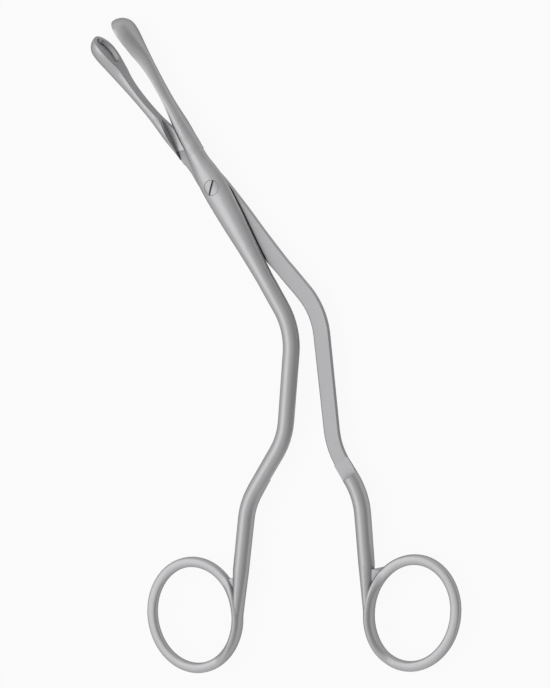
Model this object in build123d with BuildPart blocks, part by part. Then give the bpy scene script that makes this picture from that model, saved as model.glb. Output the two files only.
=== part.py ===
from build123d import *
from math import asin, cos, degrees, pi, radians, sin, sqrt, tan
import os

# Septum compression forceps: two crossing arms on one screw, modelled half open.
# Millimetres and degrees. The origin is the middle of the footprint, +Z runs up along the pivot
# towards the screw's head, +Y towards the jaws' end, and the handles go down.
# A heading is the angle of a run towards the handles, from straight down (-Y) to the right.

# Where the pivot stands, at the level of the lap faces
pivot_x = -19.4
pivot_y = 48.7
pivot_height = 5.2

# Opening and the line on which the closed jaws meet
closed_heading = 34.5
rest_opening = 7.2
closed_gap = 0.2
lap_gap = 0.04
shoulder_clearance = 0.2

# Jaws: half oval in section, flat inside, with an oval recess
jaw_reach = 60.5
nose_length = 4.5
jaw_width = 10.4
jaw_depth = 4.5
spoon_taper = 13.1
neck_length = 27.6
neck_width = 4.6
neck_thickness = 4.2
neck_relief = 0.75
recess_length = 9.6
recess_width = 7.4
recess_depth = 1.0
recess_wall_angle = 25.0
recess_from_nose = 5.6

# Lap: half oval in section, widest at the pivot, narrowing to the neck and to the shaft
lap_width = 8.9
lap_height = 2.95
lap_length = 34.0
lap_top = 12.0
lap_top_width = 6.5
shoulder_step = 0.5

# Shafts: half round, flat on the lap side, tapering from the lap to the third bend
shaft_radius = 2.9
shaft_end_radius = 2.6
flat_bevel = 0.5
bend_radius = 22.0
crossing = 2.2
front_shaft_length = 49.1
rear_shaft_length = 49.5
front_middle_length = 33.0
rear_middle_length = 41.5
front_middle_heading = -4.7
rear_middle_heading = -0.5
front_flare_length = 24.0
rear_flare_length = 15.8
front_flare_heading = -31.9
rear_flare_heading = 28.8

# Ramp where the half-round shaft becomes the full-round grip
ramp_length = 5.5
ramp_rise = 0.7
step_run = 0.8

# Grips and finger rings
grip_end_radius = 2.45
grip_length = 37.8
front_grip_heading = -6.5
rear_grip_heading = -2.2
grip_taper = 17.0
grip_end_inset = 0.25
ring_offset = 0.6
front_ring_half_width = 14.6
rear_ring_half_width = 13.7
ring_half_length = 16.3
front_ring_lean = 7.0
rear_ring_lean = 25.0
ring_band = 3.1
ring_height = 5.2
web_length = 15.0
web_thickness = 2.2
web_start_angle = 45.0

# Screw
screw_head_radius = 2.3
screw_seat_height = 1.3
screw_shank_radius = 1.4
head_clearance = 0.08
bore_clearance = 0.05
thread_clearance = 0.01
crown_clearance = 0.03
slot_width = 0.6
slot_depth = 0.7
slot_heading = -16.0


pivot = Vector(pivot_x, pivot_y, pivot_height)


def along(heading):
    """Unit vector of a run with this heading, towards the handles."""
    return Vector(sin(radians(heading)), -cos(radians(heading)), 0)


def across(heading):
    """Unit vector to the right of a run with this heading."""
    return Vector(cos(radians(heading)), sin(radians(heading)), 0)


def section_plane(point, heading):
    """Plane square to a run: local x to the right of the run, local y up."""
    return Plane(origin=point, x_dir=across(heading), z_dir=along(heading))


def bend_tangent(heading_in, heading_out):
    """How far before its corner a bend of the shafts' radius begins."""
    return bend_radius * tan(radians(abs(heading_out - heading_in)) / 2)


def fade(distance, length):
    """Falls smoothly from 1 at no distance to 0 at the given length."""
    share = min(1, max(0, distance / length))
    return (1 + cos(pi * share)) / 2


def oval(plane, half_x, half_y):
    """Oval section on a plane."""
    with BuildSketch(plane) as section:
        Ellipse(half_x, half_y)
    return section.sketch


def half_oval(plane, half_width, height, side):
    """Half-oval section, flat on the lap side, with its two sharp edges bevelled."""
    flat_level = lap_gap / 2
    bevel_level = flat_level + flat_bevel
    start = degrees(asin(bevel_level / height))
    reach = half_width * cos(radians(start))
    with BuildSketch(plane) as section:
        with BuildLine():
            crown = EllipticalCenterArc(
                (0, 0),
                half_width,
                height,
                start_angle=start + (0 if side > 0 else 180),
                arc_size=180 - 2 * start,
            )
            Polyline(
                crown @ 1,
                (side * (flat_bevel - reach), side * flat_level),
                (side * (reach - flat_bevel), side * flat_level),
                crown @ 0,
            )
        make_face()
    return section.sketch


def lap_section(point, heading, distance, side):
    """Section of the lap at a distance from the pivot, negative towards the jaws."""
    half_width = lap_top_width / 2 + (lap_width - lap_top_width) / 2 * fade(-distance, lap_top)
    height = lap_height
    if distance > 0:
        share = fade(distance, lap_length)
        half_width = shaft_radius + (lap_width / 2 - shaft_radius) * share
        height = shaft_radius + (lap_height - shaft_radius) * share
    return half_oval(section_plane(point, heading), half_width, height, side)


def make_jaw(lap, side):
    """Jaw and neck down to the lap, in the lap's frame: x to the jaw's back, y to the nose."""
    mid = closed_heading + (0 if side > 0 else rest_opening)
    lap_line = tan(radians(crossing))
    neck_end = jaw_reach - nose_length - neck_length

    def station(reach, offset, half_depth, half_width, swing):
        """Oval section at a distance from the pivot, swung by part of the crossing angle."""
        origin = lap.from_local_coords((offset, reach, 0))
        return oval(section_plane(origin, mid - side * crossing * swing), half_depth, half_width)

    sections = [Vertex(*lap.from_local_coords((closed_gap / 2, jaw_reach, 0)))]
    for angle in (20, 38, 56, 74):
        reach = jaw_reach - nose_length * (1 - cos(radians(angle)))
        size = sin(radians(angle))
        sections.append(station(reach, closed_gap / 2, jaw_depth * size, jaw_width / 2 * size, 0))
    for step in range(7):
        distance = neck_length * step / 6
        swell = fade(distance, neck_length)
        spread = fade(distance, spoon_taper)
        offset = closed_gap / 2 * swell + lap_line * neck_end * (1 - swell)
        half_depth = neck_thickness / 2 + (jaw_depth - neck_thickness / 2) * swell
        half_width = neck_width / 2 + (jaw_width - neck_width) / 2 * spread
        reach = jaw_reach - nose_length - distance
        sections.append(station(reach, offset, half_depth, half_width, 1 - swell))
    for share in (0.5, 1):
        reach = neck_end + (lap_top - neck_end) * share
        half_depth = neck_thickness / 2 + (lap_top_width - neck_thickness) / 2 * share
        half_width = neck_width / 2 + (lap_height - neck_width / 2) * share
        sections.append(station(reach, lap_line * reach, half_depth, half_width, 1))

    # The necks bow away from each other between the jaws' faces and the crossing
    relief_start = jaw_reach - nose_length - spoon_taper * 2 / 3
    relief_end = neck_end - 1
    relief_middle = (relief_start + relief_end) / 2
    relief_radius = (relief_start - relief_end) ** 2 / (8 * neck_relief)
    relief_centre = relief_radius - closed_gap / 2 - neck_relief

    with BuildPart() as jaw:
        loft(sections)
        with BuildSketch(lap.offset(-jaw_width)):
            with Locations((closed_gap / 2 - jaw_width / 2, (jaw_reach + relief_middle) / 2 + 1)):
                Rectangle(jaw_width, jaw_reach - relief_middle + 2)
            with Locations((-relief_centre, relief_middle)):
                Circle(relief_radius)
        extrude(amount=2 * jaw_width, mode=Mode.SUBTRACT)
        # Below the lap faces, the other arm's lap has this arm's side up to its own edge
        with BuildSketch(lap.offset(lap_gap / 2)):
            with Locations((0, (lap_top + relief_middle) / 2 - 1)):
                Rectangle(lap_width, relief_middle - lap_top + 2)
            with Locations((relief_centre, relief_middle)):
                Circle(relief_radius - shoulder_clearance, mode=Mode.SUBTRACT)
            with Locations((0, lap_top + shoulder_step / 2 - 1)):
                Rectangle(2 * lap_width, shoulder_step + 2)
        extrude(amount=-jaw_width, mode=Mode.SUBTRACT)
        # The recess, its wall leaning in towards its flat floor
        face_centre = lap.from_local_coords((closed_gap / 2, jaw_reach - recess_from_nose, 0))
        face = Plane(origin=face_centre, x_dir=lap.y_dir, z_dir=lap.x_dir)
        for height in (-recess_depth, recess_depth):
            lean_in = height * tan(radians(recess_wall_angle))
            with BuildSketch(face.offset(height)):
                Ellipse(recess_length / 2 - lean_in, recess_width / 2 - lean_in)
        loft(mode=Mode.SUBTRACT)
    return jaw.part


def make_grip(third_bend, flare, grip, side):
    """Full-round grip with its finger ring, and the ramp at its start."""
    bend_start = third_bend - along(flare) * bend_tangent(flare, grip)
    ramp_start = bend_start - along(flare) * ramp_length
    taper_start = third_bend + along(grip) * (grip_length - grip_taper)
    web_start = third_bend + along(grip) * (grip_length - web_length)
    foot = third_bend + along(grip) * grip_length + across(grip) * (side * ring_offset)

    # The ring's centre line runs along the grip at the foot
    ring_half_width = front_ring_half_width if side > 0 else rear_ring_half_width
    ring_lean = front_ring_lean if side > 0 else rear_ring_lean
    lean = radians(ring_lean)
    ring_heading = grip + side * ring_lean
    short_axis = across(ring_heading) * side
    long_axis = along(ring_heading)
    support = sqrt((ring_half_width * cos(lean)) ** 2 + (ring_half_length * sin(lean)) ** 2)
    to_foot = short_axis * (ring_half_width**2 * cos(lean) / support)
    to_foot += long_axis * (ring_half_length**2 * sin(lean) / support)
    ring_centre = foot - to_foot
    web_angle = radians(web_start_angle)
    web_end = ring_centre - long_axis * (ring_half_length * cos(web_angle))
    web_end += short_axis * (ring_half_width * sin(web_angle))

    with BuildLine() as grip_path:
        FilletPolyline(ramp_start, third_bend, taper_start, radius=bend_radius)
    with BuildLine() as ring_path:
        EllipticalCenterArc(
            ring_centre,
            ring_half_width,
            ring_half_length,
            start_angle=-90,
            arc_size=360,
            rotation=ring_heading,
        )
    ring_start = ring_path.wire() @ 0
    ring_section = Plane(origin=ring_start, x_dir=-long_axis, z_dir=ring_path.wire() % 0)

    with BuildPart() as handle:
        with BuildSketch(section_plane(ramp_start, flare)):
            Circle(shaft_end_radius)
        with BuildSketch(section_plane(taper_start, grip)):
            Circle(grip_end_radius)
        sweep(path=grip_path.wire(), multisection=True)
        # The flat runs out in a gentle ramp and ends in a step
        ramp_plane = Plane(origin=ramp_start, x_dir=along(flare), z_dir=across(flare) * side)
        with BuildSketch(ramp_plane):
            with BuildLine():
                floor = Line((-1, -lap_gap / 2), (0, -lap_gap / 2))
                rise = TangentArc(floor @ 1, (ramp_length, ramp_rise), tangent=floor % 1)
                step = Line(rise @ 1, (ramp_length + step_run, 2 * shaft_end_radius))
                Polyline(step @ 1, (-1, 2 * shaft_end_radius), floor @ 0)
            make_face()
        extrude(amount=2 * shaft_end_radius, both=True, mode=Mode.SUBTRACT)
        with BuildSketch(section_plane(taper_start, grip)):
            Circle(grip_end_radius)
        with BuildSketch(section_plane(foot, grip)):
            Ellipse(ring_band / 2 - grip_end_inset, ring_height / 2 - grip_end_inset)
        loft()
        with BuildSketch(ring_section):
            Ellipse(ring_band / 2, ring_height / 2)
        sweep(path=ring_path.wire())
        # Web that fills the corner between the grip and the top of the ring
        ring_plane = Plane(origin=ring_centre, x_dir=across(ring_heading), z_dir=(0, 0, 1))
        corners = [ring_plane.to_local_coords(corner) for corner in (web_start, web_end, foot)]
        with BuildSketch(ring_plane):
            with BuildLine():
                Polyline(corners[0], corners[1], (0, 0), corners[2], close=True)
            make_face()
            Ellipse(ring_half_width, ring_half_length, mode=Mode.SUBTRACT)
        extrude(amount=web_thickness / 2, both=True)
    return handle.part


def make_arm(side, headings, lengths):
    """One whole forging. Side 1 is the front arm, above the lap; side -1 is the rear arm."""
    turn = 0 if side > 0 else rest_opening
    mid = closed_heading + turn
    shaft = mid - side * crossing
    middle, flare, grip = (heading + turn for heading in headings)
    lap = Plane(origin=pivot, x_dir=across(mid) * side, z_dir=(0, 0, side))
    lap_reach = lap_top / cos(radians(crossing))
    lap_end = pivot + along(shaft) * lap_length
    first_bend = pivot + along(shaft) * lengths[0]
    second_bend = first_bend + along(middle) * lengths[1]
    third_bend = second_bend + along(flare) * lengths[2]
    flat_end = third_bend - along(flare) * bend_tangent(flare, grip)

    jaw = make_jaw(lap, side)
    handle = make_grip(third_bend, flare, grip, side)
    lap_sections = []
    for step in range(9):
        distance = (lap_reach + lap_length) * step / 8 - lap_reach
        lap_sections.append(lap_section(pivot + along(shaft) * distance, shaft, distance, side))
    with BuildLine() as shaft_path:
        FilletPolyline(lap_end, first_bend, second_bend, flat_end, radius=bend_radius)
    shaft_sections = [
        half_oval(section_plane(lap_end, shaft), shaft_radius, shaft_radius, side),
        half_oval(section_plane(flat_end, flare), shaft_end_radius, shaft_end_radius, side),
    ]
    with BuildPart() as arm:
        loft(lap_sections)
        sweep(shaft_sections, path=shaft_path.wire(), multisection=True)
        add(jaw)
        add(handle)
    return arm.part


front_headings = (front_middle_heading, front_flare_heading, front_grip_heading)
front_lengths = (front_shaft_length, front_middle_length, front_flare_length)
with BuildPart() as front_arm:
    add(make_arm(1, front_headings, front_lengths))
    # Seat for the screw's head, and the bore that turns on its shank
    with Locations(pivot + Vector(0, 0, screw_seat_height)):
        Cylinder(
            screw_head_radius + head_clearance,
            2 * lap_height,
            align=(Align.CENTER, Align.CENTER, Align.MIN),
            mode=Mode.SUBTRACT,
        )
    with Locations(pivot):
        Cylinder(screw_shank_radius + bore_clearance, 4 * lap_height, mode=Mode.SUBTRACT)
front_arm.part.label = "front_arm"

rear_headings = (rear_middle_heading, rear_flare_heading, rear_grip_heading)
rear_lengths = (rear_shaft_length, rear_middle_length, rear_flare_length)
with BuildPart() as rear_arm:
    add(make_arm(-1, rear_headings, rear_lengths))
    with Locations(pivot):
        Cylinder(screw_shank_radius + thread_clearance, 4 * lap_height, mode=Mode.SUBTRACT)
rear_arm.part.label = "rear_arm"

with BuildPart() as pivot_screw:
    with Locations(pivot):
        Cylinder(screw_shank_radius, 4 * lap_height)
    with Locations(pivot + Vector(0, 0, screw_seat_height)):
        Cylinder(screw_head_radius, lap_height, align=(Align.CENTER, Align.CENTER, Align.MIN))
    # Both ends are dressed flush with the arms' rounds
    front_shaft = closed_heading - crossing
    dressing_start = pivot - along(front_shaft) * (2 * screw_head_radius)
    with BuildSketch(section_plane(dressing_start, front_shaft)):
        Ellipse(lap_width / 2 - crown_clearance, lap_height - crown_clearance)
    extrude(amount=4 * screw_head_radius, mode=Mode.INTERSECT)
    with Locations(Location(pivot + Vector(0, 0, lap_height), (0, 0, slot_heading))):
        Box(slot_width, 4 * screw_head_radius, 2 * slot_depth, mode=Mode.SUBTRACT)
pivot_screw.part.label = "pivot_screw"

os.makedirs("parts", exist_ok=True)
export_step(front_arm.part, "parts/front_arm.step")
export_step(rear_arm.part, "parts/rear_arm.step")
export_step(pivot_screw.part, "parts/pivot_screw.step")
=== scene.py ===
import bpy
from math import cos, hypot, radians, sin
from mathutils import Matrix, Vector
import numpy as np


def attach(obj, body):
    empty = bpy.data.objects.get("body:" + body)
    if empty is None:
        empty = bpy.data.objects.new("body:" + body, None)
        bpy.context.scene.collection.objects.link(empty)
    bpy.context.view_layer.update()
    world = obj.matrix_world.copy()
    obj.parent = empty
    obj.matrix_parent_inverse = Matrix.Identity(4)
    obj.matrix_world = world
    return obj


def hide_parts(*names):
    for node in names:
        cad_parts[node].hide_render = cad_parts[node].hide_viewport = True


# Septum compression forceps lying half open on a pale floor. Metres.
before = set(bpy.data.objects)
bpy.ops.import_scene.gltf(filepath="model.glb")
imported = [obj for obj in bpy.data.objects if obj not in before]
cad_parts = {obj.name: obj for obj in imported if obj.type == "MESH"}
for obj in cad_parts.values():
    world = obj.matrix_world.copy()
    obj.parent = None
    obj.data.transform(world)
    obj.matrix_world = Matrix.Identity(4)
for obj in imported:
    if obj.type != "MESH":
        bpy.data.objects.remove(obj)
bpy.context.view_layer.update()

# Camera: off the pivot's axis to the right, the rings towards the bottom of the picture
PICTURE_HEIGHT = 688
METRES_PER_PIXEL = 0.0002985
CAMERA_DISTANCE = 1.0
CAMERA_TILT = radians(27)
CAMERA_LEAN = radians(12)
CAMERA_TARGET = Vector((0.00057, 0.00241, 0.0052))
SENSOR_WIDTH = 36

# Steel. Painted shade darkens its colour where the sky is partly hidden; the flats' painted shade
# starts where less than a share of the sky is open.
ARM_COLOUR = (0.50, 0.50, 0.51, 1)
FLAT_COLOUR = (0.40, 0.40, 0.41, 1)
SCREW_COLOUR = (0.47, 0.47, 0.48, 1)
STEEL_EDGE_TINT = (0.6, 0.6, 0.61, 1)
STEEL_ROUGHNESS = 0.33
ROUGHNESS_CHANGE = 0.05
GRAIN_ALONG, GRAIN_ACROSS = 300, 2500
GRAIN_BUMP, GRAIN_DEPTH = 0.06, 0.00005
CLOUD_SCALE = 90
EDGE_RADIUS = 0.00012
# How far the arms' and screw's painted shade looks for parts that hide the sky
PAINTED_SHADE_DEPTH = 0.0008
FLAT_SHADE_DEPTH = 0.010
FLAT_SHADE_FROM = 0.45
DARKEST_SHADE = 0.35

# Studio
FLOOR_SIZE = 4.0
FLOOR_COLOUR = (0.7, 0.7, 0.7, 1)
FLOOR_SEEN_WHITE = 0.92
FLOOR_MIRRORED_WHITE = 0.35
WORLD_LEFT_LEVEL = 0.80
WORLD_RIGHT_LEVEL = 0.34
KEY_DIRECTION = (-0.57, 0.05, 0.82)
KEY_DISTANCE, KEY_SIZE, KEY_POWER = 1.2, 0.97, 1.5

# Arms: heights are measured from the lap's middle, reaches from the pivot towards the jaw
PIVOT = (-0.0194, 0.0487)
MID_HEIGHT = 0.0052

# Ground flat: its heights, how upright it faces and how far it reaches into the neck
FLAT_HEIGHTS = (-0.0001, 0.0009)
FLAT_UPRIGHT = 0.93
FLAT_REACH = 0.015

# Neck root: the reaches between which it tapers evenly
ROOT_START, ROOT_END, ROOT_STEP = 0.009025, 0.022, 0.00005

# Ring band: its section, and the distances from the grip over which it gets low
BAND_HALF_WIDTH = 0.00155
BAND_TALL_HALF_HEIGHT = 0.0026
BAND_LOW_HALF_HEIGHT = 0.0013
BAND_SQUARENESS = 3.2
BAND_REACH = 1.25
BAND_FADE = (0.001, 0.006)
BAND_POINTS = 360

# Normals: how far inside its face a corner's slope is taken, and over what step
NORMAL_SHARE = 0.1
NORMAL_STEP = 0.000002

ARMS = {
    "front_arm": {
        "body": "front",
        "side": 1,
        "jaw_heading": radians(32.3),
        "ring_centre": (-0.026716, -0.081604),
        "ring_half_axes": (0.0146, 0.0163),
        "ring_heading": radians(0.5),
        "grip_heading": radians(-6.5),
    },
    "rear_arm": {
        "body": "rear",
        "side": -1,
        "jaw_heading": radians(43.9),
        "ring_centre": (0.045711, -0.075341),
        "ring_half_axes": (0.0137, 0.0163),
        "ring_heading": radians(-20.0),
        "grip_heading": radians(5.0),
    },
}


class Tree:
    """Short way to add nodes and links to a node tree."""

    def __init__(self, tree):
        self.tree = tree
        self.tree.nodes.clear()

    def add(self, kind, values=None, **settings):
        """Adds a node, sets its properties and fills or links its inputs."""
        node = self.tree.nodes.new(kind)
        for name, value in settings.items():
            setattr(node, name, value)
        for name, value in (values or {}).items():
            if isinstance(value, bpy.types.NodeSocket):
                self.tree.links.new(value, node.inputs[name])
            else:
                node.inputs[name].default_value = value
        return node


def new_material(name):
    material = bpy.data.materials.new(name)
    material.use_nodes = True
    return material, Tree(material.node_tree)


def steel(name, colour, grain_axis, shade_depth=PAINTED_SHADE_DEPTH, shade_from=0.0):
    """Satin steel: fine grain, cloudy gloss, soft edges, and painted shade that darkens its colour
    in seams, creases and between parts.
    """
    material, tree = new_material(name)
    place = tree.add("ShaderNodeTexCoord").outputs["Object"]
    grain_scale = [GRAIN_ACROSS] * 3
    grain_scale[grain_axis] = GRAIN_ALONG
    stretched = tree.add("ShaderNodeMapping", {"Vector": place, "Scale": grain_scale}).outputs[0]
    grain = tree.add(
        "ShaderNodeTexNoise", {"Vector": stretched, "Scale": 1.0, "Detail": 3.0}
    ).outputs["Fac"]
    cloud = tree.add(
        "ShaderNodeTexNoise", {"Vector": place, "Scale": CLOUD_SCALE, "Detail": 4.0}
    ).outputs["Fac"]
    grain_roughness = tree.add(
        "ShaderNodeMapRange",
        {
            "Value": grain,
            "To Min": STEEL_ROUGHNESS - ROUGHNESS_CHANGE,
            "To Max": STEEL_ROUGHNESS + ROUGHNESS_CHANGE,
        },
    ).outputs[0]
    cloud_roughness = tree.add(
        "ShaderNodeMapRange",
        {"Value": cloud, "To Min": -ROUGHNESS_CHANGE, "To Max": ROUGHNESS_CHANGE},
    ).outputs[0]
    roughness = tree.add(
        "ShaderNodeMath", {0: grain_roughness, 1: cloud_roughness}, operation="ADD"
    ).outputs[0]
    # Painted shade: the colour is darkened where nearby parts hide the sky, in creases, seams and
    # between parts.
    openness = tree.add(
        "ShaderNodeAmbientOcclusion", {"Distance": shade_depth}, samples=8
    ).outputs["AO"]
    shade = tree.add(
        "ShaderNodeMapRange",
        {"Value": openness, "From Min": shade_from, "To Min": DARKEST_SHADE, "To Max": 1.0},
    ).outputs[0]
    shaded = tree.add(
        "ShaderNodeMix", {0: 1.0, 6: colour, 7: shade}, data_type="RGBA", blend_type="MULTIPLY"
    ).outputs[2]
    soft_edge = tree.add("ShaderNodeBevel", {"Radius": EDGE_RADIUS}, samples=6).outputs[0]
    bump = tree.add(
        "ShaderNodeBump",
        {"Strength": GRAIN_BUMP, "Distance": GRAIN_DEPTH, "Height": grain, "Normal": soft_edge},
    ).outputs[0]
    surface = tree.add(
        "ShaderNodeBsdfPrincipled",
        {
            "Base Color": shaded,
            "Metallic": 1.0,
            "Roughness": roughness,
            "Specular Tint": STEEL_EDGE_TINT,
            "Normal": bump,
        },
    ).outputs[0]
    tree.add("ShaderNodeOutputMaterial", {"Surface": surface})
    return material


def arm_steel():
    return steel("satin_arm_steel", ARM_COLOUR, 1)


def flat_steel():
    # Darker copy of the steel for the ground flat, whose painted shade reaches further, so the flat
    # darkens near the other arm.
    return steel("ground_flat_steel", FLAT_COLOUR, 0, FLAT_SHADE_DEPTH, FLAT_SHADE_FROM)


def screw_steel():
    return steel("satin_screw_steel", SCREW_COLOUR, 0)


def floor_material():
    """Pale floor that keeps a faint shadow. It shows as white to the camera and in the metal."""
    material, tree = new_material("pale_floor")
    diffuse = tree.add("ShaderNodeBsdfDiffuse", {"Color": FLOOR_COLOUR}).outputs[0]
    white = tree.add("ShaderNodeEmission", {"Color": (1, 1, 1, 1), "Strength": 1.0}).outputs[0]
    ray = tree.add("ShaderNodeLightPath").outputs
    seen = tree.add(
        "ShaderNodeMath", {0: ray["Is Camera Ray"], 1: FLOOR_SEEN_WHITE}, operation="MULTIPLY"
    ).outputs[0]
    mirrored = tree.add(
        "ShaderNodeMath", {0: ray["Is Glossy Ray"], 1: ray["Is Transmission Ray"]}, operation="ADD"
    ).outputs[0]
    share = tree.add(
        "ShaderNodeMath",
        {0: mirrored, 1: FLOOR_MIRRORED_WHITE, 2: seen},
        operation="MULTIPLY_ADD",
        use_clamp=True,
    ).outputs[0]
    surface = tree.add("ShaderNodeMixShader", {0: share, 1: diffuse, 2: white}).outputs[0]
    tree.add("ShaderNodeOutputMaterial", {"Surface": surface})
    return material


def dress(piece, material):
    """Gives a piece one material in place of all it had."""
    piece.data.materials.clear()
    piece.data.materials.append(material)


def along(heading):
    return np.array((-sin(heading), cos(heading)))


def across(heading):
    return np.array((cos(heading), sin(heading)))


def arm_places(points, arm):
    """Reach from the pivot, offset to the right and height above the lap's middle."""
    reach = (points[:, :2] - PIVOT) @ along(arm["jaw_heading"])
    offset = (points[:, :2] - PIVOT) @ across(arm["jaw_heading"])
    height = arm["side"] * (points[:, 2] - MID_HEIGHT)
    return reach, offset, height


def root_law(points, edges, arm):
    """Scale of the neck root's left, right and outer side at even steps from the pivot."""
    reach, offset, height = arm_places(points, arm)
    steps = np.arange(ROOT_START, ROOT_END + ROOT_STEP / 2, ROOT_STEP)
    nearer, farther = np.sort(reach[edges], axis=1).T
    outlines = []
    for step in steps:
        first, second = edges[(nearer < step) & (farther > step)].T
        share = (step - reach[first]) / (reach[second] - reach[first])
        sideways = offset[first] + share * (offset[second] - offset[first])
        upwards = height[first] + share * (height[second] - height[first])
        outlines.append((-sideways.min(), sideways.max(), upwards.max()))
    outlines = np.array(outlines)
    progress = ((steps - steps[0]) / (steps[-1] - steps[0]))[:, None]
    return steps, (outlines[0] + (outlines[-1] - outlines[0]) * progress) / outlines


def even_root(points, law, arm):
    """The neck tapers evenly from the lap, without a hollow or a bulge."""
    steps, scales = law
    reach, offset, height = arm_places(points, arm)
    left, right, outer = (np.interp(reach, steps, column) for column in scales.T)
    inside = (reach > ROOT_START) & (reach < ROOT_END)
    shift = np.where(inside, offset * (np.where(offset < 0, left, right) - 1), 0)
    lift = np.where(inside & (height > 0), height * (outer - 1), 0)
    moved = points.copy()
    moved[:, :2] += shift[:, None] * across(arm["jaw_heading"])
    moved[:, 2] += arm["side"] * lift
    return moved


def squared_off(value):
    """Pushes a sine or cosine outwards, which makes an oval section squarer."""
    return np.sign(value) * np.abs(value) ** (2 / BAND_SQUARENESS)


def low_band(points, arm):
    """Away from the grip, the ring's tall oval section becomes a low one with a flatter top."""
    centre = np.array(arm["ring_centre"])
    short_axis, long_axis = across(arm["ring_heading"]), along(arm["ring_heading"])
    half_width, half_length = arm["ring_half_axes"]
    from_centre = np.linalg.norm(points[:, :2] - centre, axis=1)
    near = np.flatnonzero(from_centre < half_length + 2 * BAND_HALF_WIDTH)
    moved = points.copy()
    if not len(near):
        return moved

    # The band's middle line, and which way is out of the ring
    turn = np.linspace(0, 2 * np.pi, BAND_POINTS, endpoint=False)
    line = np.outer(half_width * np.cos(turn), short_axis)
    line += centre + np.outer(half_length * np.sin(turn), long_axis)
    outward = np.outer(np.cos(turn) / half_width, short_axis)
    outward += np.outer(np.sin(turn) / half_length, long_axis)
    outward /= np.linalg.norm(outward, axis=1)[:, None]

    # Each point's place in the section of the band that is nearest to it
    gaps = points[near, None, :2] - line[None]
    nearest = np.argmin((gaps**2).sum(axis=2), axis=1)
    offset = (gaps[np.arange(len(near)), nearest] * outward[nearest]).sum(axis=1)
    height = points[near, 2] - MID_HEIGHT
    radius = np.hypot(offset / BAND_HALF_WIDTH, height / BAND_TALL_HALF_HEIGHT)
    angle = np.arctan2(height / BAND_TALL_HALF_HEIGHT, offset / BAND_HALF_WIDTH)
    new_offset = BAND_HALF_WIDTH * radius * squared_off(np.cos(angle))
    new_height = BAND_LOW_HALF_HEIGHT * radius * squared_off(np.sin(angle))

    # The change fades in with the distance from the grip's line
    lean = arm["ring_heading"] - arm["grip_heading"]
    support = hypot(half_width * cos(lean), half_length * sin(lean))
    towards_grip = (points[near, :2] - centre) @ across(arm["grip_heading"])
    from_grip = support - arm["side"] * towards_grip
    share = np.clip((from_grip - BAND_FADE[0]) / (BAND_FADE[1] - BAND_FADE[0]), 0, 1)
    share = share * share * (3 - 2 * share) * (radius < BAND_REACH)
    moved[near, :2] += (share * (new_offset - offset))[:, None] * outward[nearest]
    moved[near, 2] += share * (new_height - height)
    return moved


def turned_normals(mesh, points, new_place):
    """The corners' normals after a change of form, from its slope a little inside each face."""
    owners = np.array([loop.vertex_index for loop in mesh.loops])
    sizes = [face.loop_total for face in mesh.polygons]
    centres = np.repeat([face.center for face in mesh.polygons], sizes, axis=0)
    corners = points[owners] + (centres - points[owners]) * NORMAL_SHARE
    slopes = []
    for shift in np.eye(3) * NORMAL_STEP:
        change = new_place(corners + shift) - new_place(corners - shift)
        slopes.append(change / (2 * NORMAL_STEP))
    turns = np.linalg.pinv(np.stack(slopes, axis=2)).transpose(0, 2, 1)
    normals = np.array([corner.vector for corner in mesh.corner_normals])
    normals = np.einsum("nij,nj->ni", turns, normals)
    return normals / np.linalg.norm(normals, axis=1)[:, None]


def formed_arm(node):
    """An arm with an even neck root and low ring bands, which stands for the plain one."""
    arm = ARMS[node]
    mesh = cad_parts[node].data.copy()
    points = np.array([vertex.co for vertex in mesh.vertices])
    edges = np.array([edge.vertices[:] for edge in mesh.edges])
    law = root_law(points, edges, arm)

    def new_place(places):
        return low_band(even_root(places, law, arm), arm)

    normals = turned_normals(mesh, points, new_place)
    mesh.vertices.foreach_set("co", new_place(points).ravel())
    mesh.normals_split_custom_set(normals.tolist())
    piece = bpy.data.objects.new(node + "_form", mesh)
    bpy.context.scene.collection.objects.link(piece)
    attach(piece, arm["body"])
    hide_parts(node)
    return piece


def grind_flat(piece, arm, material):
    """The ground face of the lap and shaft gets the darker flat steel, with its deeper painted
    shade, down to the end of its ramp.
    """
    piece.data.materials.append(material)
    lowest, highest = FLAT_HEIGHTS
    for face in piece.data.polygons:
        height = -arm["side"] * (face.center.z - MID_HEIGHT)
        outward = -arm["side"] * face.normal.z
        reach = np.dot(np.array(face.center[:2]) - PIVOT, along(arm["jaw_heading"]))
        if lowest < height < highest and outward > FLAT_UPRIGHT and reach < FLAT_REACH:
            face.material_index = 1


def make_floor():
    bpy.ops.mesh.primitive_plane_add(size=FLOOR_SIZE, location=(0, 0, 0))
    floor = bpy.context.object
    floor.name = "floor"
    floor.data.materials.append(floor_material())


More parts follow.
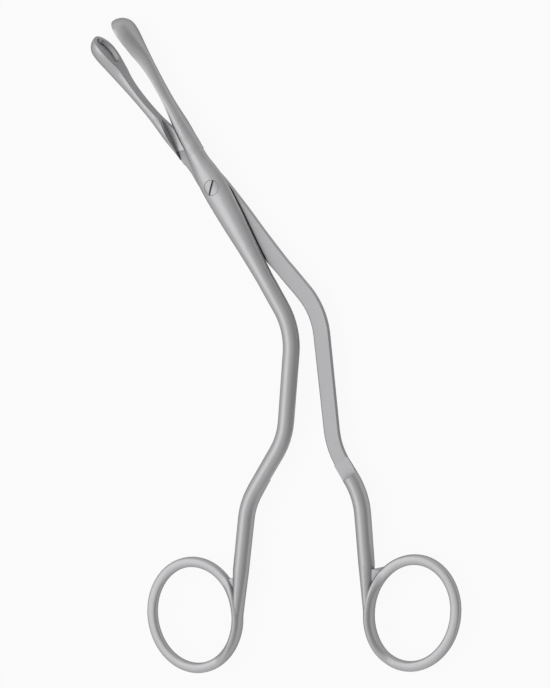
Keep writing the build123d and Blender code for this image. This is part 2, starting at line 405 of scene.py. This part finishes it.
def make_world():
    """Even studio light that falls off towards the right."""
    world = bpy.data.worlds.new("studio")
    bpy.context.scene.world = world
    world.use_nodes = True
    tree = Tree(world.node_tree)
    direction = tree.add("ShaderNodeTexCoord").outputs["Generated"]
    rightward = tree.add("ShaderNodeSeparateXYZ", {"Vector": direction}).outputs["X"]
    level = tree.add(
        "ShaderNodeMapRange",
        {"Value": rightward, "To Min": WORLD_LEFT_LEVEL, "To Max": WORLD_RIGHT_LEVEL},
    ).outputs[0]
    light = tree.add("ShaderNodeBackground", {"Color": (1, 1, 1, 1), "Strength": level}).outputs[0]
    tree.add("ShaderNodeOutputWorld", {"Surface": light})


def add_softbox(name, direction, distance, size, power):
    """Square area lamp that faces the object from a direction."""
    lamp = bpy.data.lights.new(name, "AREA")
    lamp.shape = "SQUARE"
    lamp.size = size
    lamp.energy = power
    box = bpy.data.objects.new(name, lamp)
    bpy.context.scene.collection.objects.link(box)
    direction = Vector(direction).normalized()
    box.location = CAMERA_TARGET + direction * distance
    box.rotation_mode = "QUATERNION"
    box.rotation_quaternion = direction.to_track_quat("Z", "Y")


def make_camera():
    side = Vector((cos(CAMERA_LEAN), sin(CAMERA_LEAN), 0))
    back = Vector((0, 0, 1)) * cos(CAMERA_TILT) + side * sin(CAMERA_TILT)
    right = Vector((0, 1, 0)).cross(back).normalized()
    up = back.cross(right)
    data = bpy.data.cameras.new("photo_camera")
    data.sensor_width = SENSOR_WIDTH
    data.lens = SENSOR_WIDTH * CAMERA_DISTANCE / (METRES_PER_PIXEL * PICTURE_HEIGHT)
    camera = bpy.data.objects.new("photo_camera", data)
    bpy.context.scene.collection.objects.link(camera)
    turn = Matrix((right, up, back)).transposed()
    camera.matrix_world = Matrix.Translation(CAMERA_TARGET + back * CAMERA_DISTANCE) @ turn.to_4x4()
    bpy.context.scene.camera = camera


arm_material, flat_material = arm_steel(), flat_steel()
for node in ARMS:
    arm_piece = formed_arm(node)
    dress(arm_piece, arm_material)
    grind_flat(arm_piece, ARMS[node], flat_material)
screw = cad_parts["pivot_screw"]
dress(screw, screw_steel())

make_floor()
make_world()
make_camera()
add_softbox("key", KEY_DIRECTION, KEY_DISTANCE, KEY_SIZE, KEY_POWER)

bpy.context.scene.view_settings.view_transform = "Standard"
